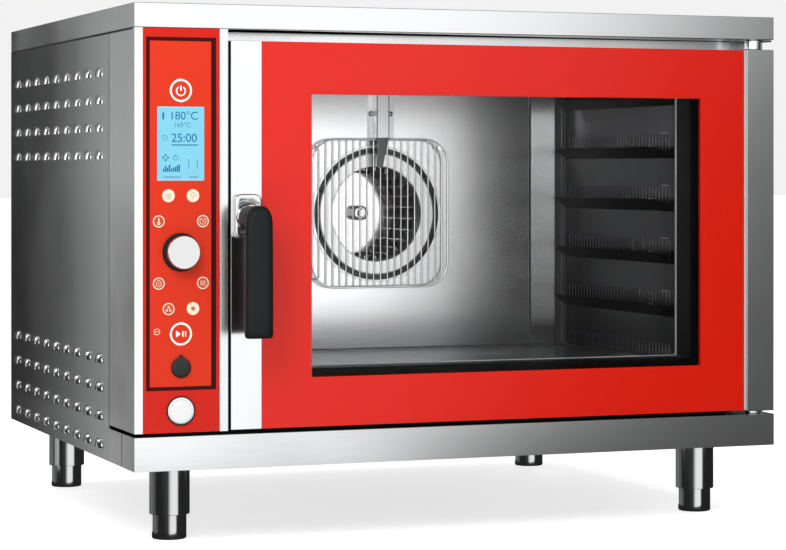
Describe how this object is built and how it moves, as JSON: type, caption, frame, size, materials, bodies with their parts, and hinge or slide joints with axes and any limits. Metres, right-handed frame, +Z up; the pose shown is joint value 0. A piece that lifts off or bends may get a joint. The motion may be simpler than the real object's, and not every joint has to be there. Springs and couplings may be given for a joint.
{
  "type": "gas convection oven",
  "caption": "Counter-top gas convection oven: stainless body on four legs, side-hinged glass door with lever handle, tray racks, fan and a control column.",
  "frame": {"origin": "on the floor, under the middle of the bounding box, which runs from the handle to the rear fittings", "axes": "+X to the right seen from the front, +Y from the door to the back, +Z up"},
  "size_m": [0.938, 0.839, 0.705],
  "materials": {
    "brushed_steel": "brushed stainless sheet",
    "polished_steel": "bright polished stainless sheet",
    "dark_steel": "heat-tinted stainless",
    "galvanised": "dull galvanised sheet",
    "chrome_trim": "polished chrome",
    "red_panel": "gloss red back-printed panel",
    "cream_key": "cream printed key",
    "display_blue": "pale blue backlit display",
    "black_plastic": "satin black moulded plastic",
    "dark_frame": "dark grey enamel",
    "rubber_seal": "dark silicone rubber",
    "circuit_board": "green board laminate",
    "mineral_wool": "pressed mineral wool",
    "motor_casing": "grey painted motor casing",
    "brass_fitting": "plain brass",
    "copper_tube": "plain copper",
    "clear_glass": "clear tempered glass"
  },
  "bodies": {
    "oven": {"base_tray": "brushed_steel", "left_side_panel": "brushed_steel", "right_side_panel": "brushed_steel", "rear_panel": "galvanised", "top_cap": "brushed_steel", "front_frame": "brushed_steel", "chamber_liner": "polished_steel", "chamber_insulation": "mineral_wool", "fan_baffle": "polished_steel", "intake_ring": "polished_steel", "fan_grille": "polished_steel", "fan_motor": "motor_casing", "heat_exchanger": "dark_steel", "flue_outlet": "galvanised", "gas_burner": "brass_fitting", "water_pipe": "copper_tube", "cable_gland": "black_plastic", "electrics_plate": "galvanised", "steam_duct": "polished_steel", "steam_spout": "dark_steel", "left_tray_rack": "polished_steel", "right_tray_rack": "polished_steel", "door_gasket": "rubber_seal", "control_housing": "brushed_steel", "control_fascia": "red_panel", "display_module": "display_blue", "control_board": "circuit_board", "badge_disc": "chrome_trim", "hinge_pin_top": "chrome_trim", "hinge_pin_bottom": "chrome_trim", "leg_sleeve_front_left": "chrome_trim", "leg_sleeve_front_right": "chrome_trim", "leg_sleeve_rear_left": "chrome_trim", "leg_sleeve_rear_right": "chrome_trim"},
    "door": {"door_latch_stile": "brushed_steel", "door_frame": "dark_frame", "door_outer_glass": "clear_glass", "door_border_mask": "red_panel", "door_inner_glass": "clear_glass", "door_hinge_column": "brushed_steel", "handle_plate": "chrome_trim"},
    "handle": {"handle_lever": "black_plastic", "handle_spindle": "dark_steel"},
    "fan": {"fan_wheel": "dark_steel"},
    "knob": {"selector_knob": "chrome_trim"},
    "power_key_body": {"power_key": "red_panel"},
    "start_stop_key_body": {"start_stop_key": "red_panel"},
    "socket_cover": {"probe_socket_cover": "black_plastic"},
    "key_1_body": {"function_key_1": "cream_key"},
    "key_2_body": {"function_key_2": "cream_key"},
    "key_3_body": {"function_key_3": "cream_key"},
    "key_4_body": {"function_key_4": "cream_key"},
    "key_5_body": {"function_key_5": "cream_key"},
    "key_6_body": {"function_key_6": "cream_key"},
    "key_7_body": {"function_key_7": "cream_key"},
    "key_8_body": {"function_key_8": "cream_key"},
    "foot_front_left": {"leg_foot_front_left": "chrome_trim"},
    "foot_front_right": {"leg_foot_front_right": "chrome_trim"},
    "foot_rear_left": {"leg_foot_rear_left": "chrome_trim"},
    "foot_rear_right": {"leg_foot_rear_right": "chrome_trim"}
  },
  "joints": [
    {"name": "door_swing", "type": "hinge", "parent": "oven", "child": "door", "pos_m": [0.446, -0.3285, 0.401], "axis": [0, 0, 1], "range_deg": [0, 125]},
    {"name": "handle_turn", "type": "hinge", "parent": "door", "child": "handle", "pos_m": [-0.315, -0.3935, 0.4287], "axis": [0, -1, 0], "range_deg": [0, 90]},
    {"name": "fan_spin", "type": "hinge", "parent": "oven", "child": "fan", "pos_m": [0.029, 0.1665, 0.423], "axis": [0, 1, 0], "continuous": true},
    {"name": "knob_turn", "type": "hinge", "parent": "oven", "child": "knob", "pos_m": [-0.4031, -0.3615, 0.383], "axis": [0, -1, 0], "continuous": true},
    {"name": "socket_cover_flip", "type": "hinge", "parent": "oven", "child": "socket_cover", "pos_m": [-0.4031, -0.3564, 0.2522], "axis": [-1, 0, 0], "range_deg": [0, 100]},
    {"name": "power_key_press", "type": "slide", "parent": "oven", "child": "power_key_body", "axis": [0, 1, 0], "range_m": [0, 0.0007], "stiffness_N_per_m": 900},
    {"name": "start_stop_key_press", "type": "slide", "parent": "oven", "child": "start_stop_key_body", "axis": [0, 1, 0], "range_m": [0, 0.0007], "stiffness_N_per_m": 900},
    {"name": "function_key_1_press", "type": "slide", "parent": "oven", "child": "key_1_body", "axis": [0, 1, 0], "range_m": [0, 0.0007], "stiffness_N_per_m": 900},
    {"name": "function_key_2_press", "type": "slide", "parent": "oven", "child": "key_2_body", "axis": [0, 1, 0], "range_m": [0, 0.0007], "stiffness_N_per_m": 900},
    {"name": "function_key_3_press", "type": "slide", "parent": "oven", "child": "key_3_body", "axis": [0, 1, 0], "range_m": [0, 0.0007], "stiffness_N_per_m": 900},
    {"name": "function_key_4_press", "type": "slide", "parent": "oven", "child": "key_4_body", "axis": [0, 1, 0], "range_m": [0, 0.0007], "stiffness_N_per_m": 900},
    {"name": "function_key_5_press", "type": "slide", "parent": "oven", "child": "key_5_body", "axis": [0, 1, 0], "range_m": [0, 0.0007], "stiffness_N_per_m": 900},
    {"name": "function_key_6_press", "type": "slide", "parent": "oven", "child": "key_6_body", "axis": [0, 1, 0], "range_m": [0, 0.0007], "stiffness_N_per_m": 900},
    {"name": "function_key_7_press", "type": "slide", "parent": "oven", "child": "key_7_body", "axis": [0, 1, 0], "range_m": [0, 0.0007], "stiffness_N_per_m": 900},
    {"name": "function_key_8_press", "type": "slide", "parent": "oven", "child": "key_8_body", "axis": [0, 1, 0], "range_m": [0, 0.0007], "stiffness_N_per_m": 900},
    {"name": "foot_adjust_front_left", "type": "slide", "parent": "oven", "child": "foot_front_left", "axis": [0, 0, -1], "range_m": [0, 0.03]},
    {"name": "foot_adjust_front_right", "type": "slide", "parent": "oven", "child": "foot_front_right", "axis": [0, 0, -1], "range_m": [0, 0.03]},
    {"name": "foot_adjust_rear_left", "type": "slide", "parent": "oven", "child": "foot_rear_left", "axis": [0, 0, -1], "range_m": [0, 0.03]},
    {"name": "foot_adjust_rear_right", "type": "slide", "parent": "oven", "child": "foot_rear_right", "axis": [0, 0, -1], "range_m": [0, 0.03]}
  ]
}
